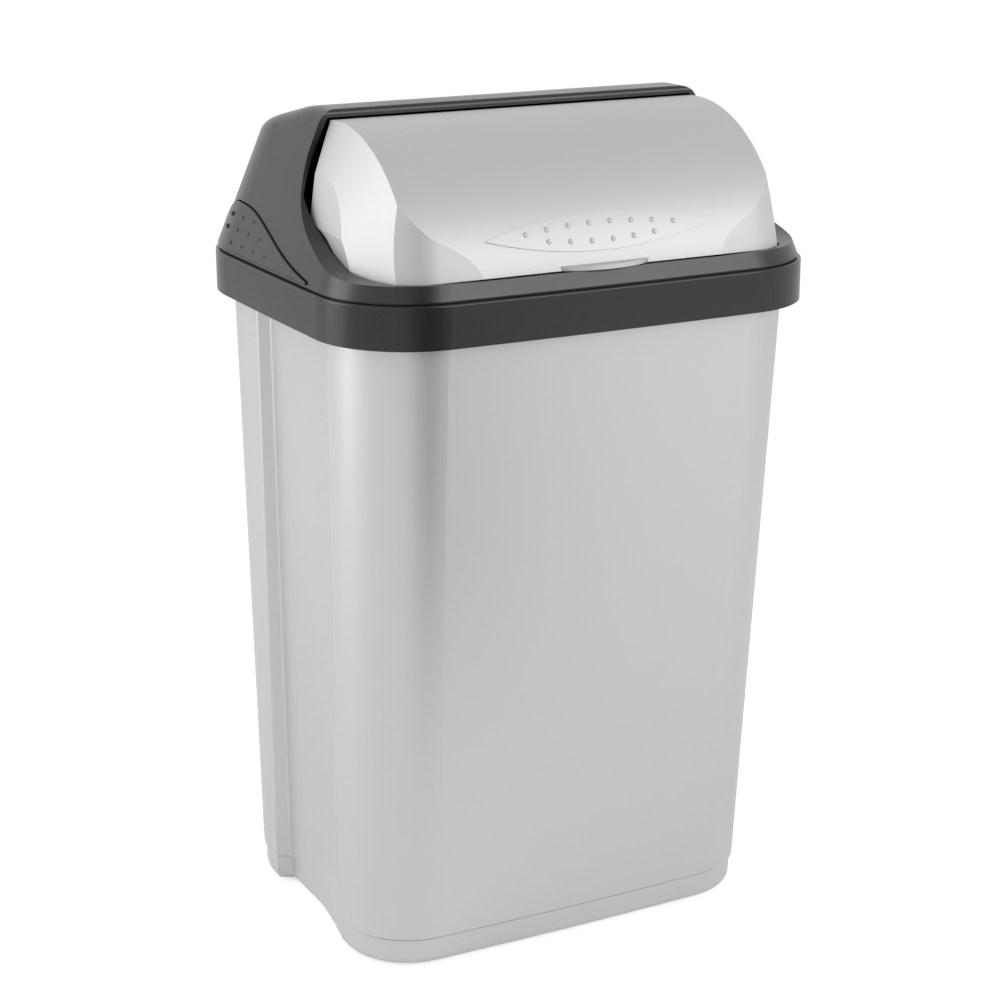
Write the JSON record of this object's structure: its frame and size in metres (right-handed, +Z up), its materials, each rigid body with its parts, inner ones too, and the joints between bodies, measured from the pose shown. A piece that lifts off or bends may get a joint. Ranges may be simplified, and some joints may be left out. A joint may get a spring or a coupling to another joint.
{
  "type": "swing-lid trash can",
  "caption": "Tapered kitchen bin with a dark rim frame and hood, a drum-shaped lid that rolls back under the hood, and squeeze grips on its sides",
  "frame": {"origin": "middle of the footprint, on the surface the bin stands on", "axes": "+X to the bin's right as seen from the front, front faces -Y, +Z up"},
  "size_m": [0.32, 0.2728, 0.521],
  "materials": {
    "silver_body": "silver metallic moulded plastic with fine brushed grain",
    "silver_lid": "silver metallic moulded plastic with fine brushed grain",
    "dark_frame": "satin graphite moulded plastic",
    "dark_hood": "satin graphite moulded plastic",
    "dark_grip": "satin graphite moulded plastic",
    "dark_pin": "satin graphite moulded plastic",
    "foot_pad": "satin grey plastic pad"
  },
  "bodies": {
    "base": {"bin_body": "silver_body", "foot_front_left": "foot_pad", "foot_front_right": "foot_pad", "foot_rear_left": "foot_pad", "foot_rear_right": "foot_pad"},
    "frame": {"rim_frame": "dark_frame"},
    "hood": {"hood": "dark_hood", "pivot_pin_left": "dark_pin", "pivot_pin_right": "dark_pin"},
    "lid": {"swing_lid": "silver_lid"},
    "grip_left": {"side_grip_left": "dark_grip"},
    "grip_right": {"side_grip_right": "dark_grip"}
  },
  "joints": [
    {"name": "frame_lift", "type": "slide", "parent": "base", "child": "frame", "axis": [0, 0, 1], "range_m": [0, 0.06]},
    {"name": "hood_lift", "type": "slide", "parent": "frame", "child": "hood", "axis": [0, 0, 1], "range_m": [0, 0.12]},
    {"name": "lid_swing", "type": "hinge", "parent": "hood", "child": "lid", "pos_m": [0, -0.031, 0.417], "axis": [-1, 0, 0], "range_deg": [0, 64]},
    {"name": "grip_left_squeeze", "type": "slide", "parent": "hood", "child": "grip_left", "axis": [1, 0, 0], "range_m": [0, 0.0025], "stiffness_N_per_m": 2500},
    {"name": "grip_right_squeeze", "type": "slide", "parent": "hood", "child": "grip_right", "axis": [-1, 0, 0], "range_m": [0, 0.0025], "stiffness_N_per_m": 2500}
  ]
}
